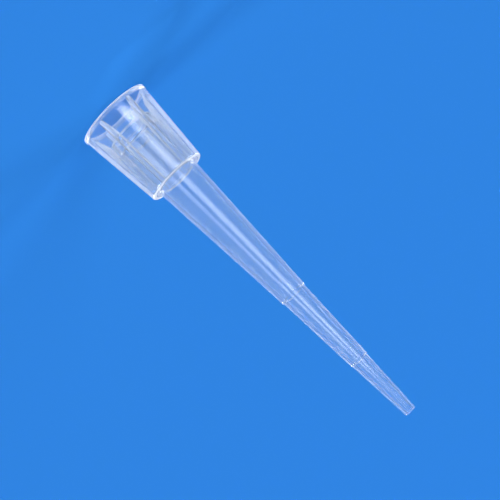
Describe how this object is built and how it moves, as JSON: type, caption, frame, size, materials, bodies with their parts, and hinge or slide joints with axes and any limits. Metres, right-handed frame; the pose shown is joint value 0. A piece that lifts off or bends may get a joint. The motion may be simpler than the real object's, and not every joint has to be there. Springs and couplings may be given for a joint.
{
  "type": "pipette tip",
  "caption": "Clear graduated 10 microlitre pipette tip with a ribbed collar, a tapered stem and two stepped volume marks.",
  "frame": {"origin": "centre of the plane of the collar's rim, on which the tip stands", "axes": "+Z along the tip's axis, from the collar's rim towards the outlet; one of the collar's ribs points along +X"},
  "size_m": [0.006, 0.006, 0.0315],
  "materials": {
    "clear_polypropylene": "natural, unpigmented polypropylene: clear with a faint milky haze, polished outside"
  },
  "bodies": {
    "root": {"pipette_tip": "clear_polypropylene"}
  },
  "joints": []
}
